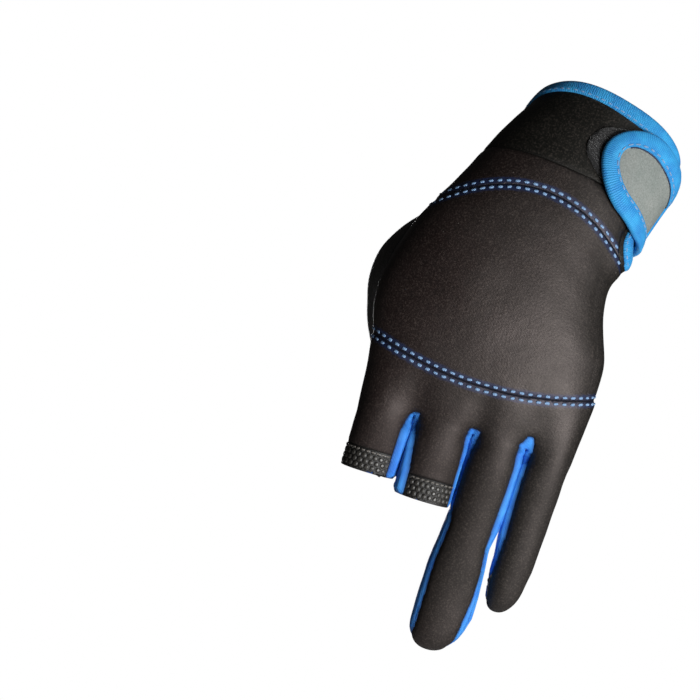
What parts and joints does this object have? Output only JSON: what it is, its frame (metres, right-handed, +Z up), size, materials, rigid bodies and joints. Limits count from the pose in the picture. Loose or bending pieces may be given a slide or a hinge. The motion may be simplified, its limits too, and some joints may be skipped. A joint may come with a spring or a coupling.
{
  "type": "fishing glove",
  "caption": "Left-hand fishing glove of black neoprene with blue binding, blue finger gussets, cut thumb, index and middle fingers, and a wrist strap.",
  "frame": {"origin": "centre of the wrist opening, where the hand goes in", "axes": "+Z up along the hand with the fingers hanging down, -Y out of the back of the hand, +X towards the little finger's side"},
  "size_m": [0.1122, 0.0736, 0.2416],
  "materials": {
    "back_neoprene": "matt knitted face, fine grain",
    "cuff_neoprene": "matt knitted face, fine grain",
    "strap_face": "satin, grey sheen",
    "grip_leather": "embossed synthetic leather, semi-matt",
    "gusset_cloth": "matt stretch knit",
    "binding_tape": "ribbed tape, soft sheen",
    "loop_pile": "short looped pile"
  },
  "bodies": {
    "root": {"cuff": "cuff_neoprene", "back_wrist": "back_neoprene", "back_hand": "back_neoprene", "back_fingers": "back_neoprene", "palm": "grip_leather", "thumb": "grip_leather", "gusset_index_middle": "gusset_cloth", "gusset_middle_ring": "gusset_cloth", "gusset_ring_little": "gusset_cloth", "index_band": "grip_leather", "middle_band_back": "grip_leather", "middle_band_palm": "grip_leather", "thumb_band": "grip_leather", "cuff_binding": "binding_tape", "strap": "strap_face", "strap_binding": "binding_tape", "loop_patch": "loop_pile", "hook_pad": "loop_pile"}
  },
  "joints": []
}
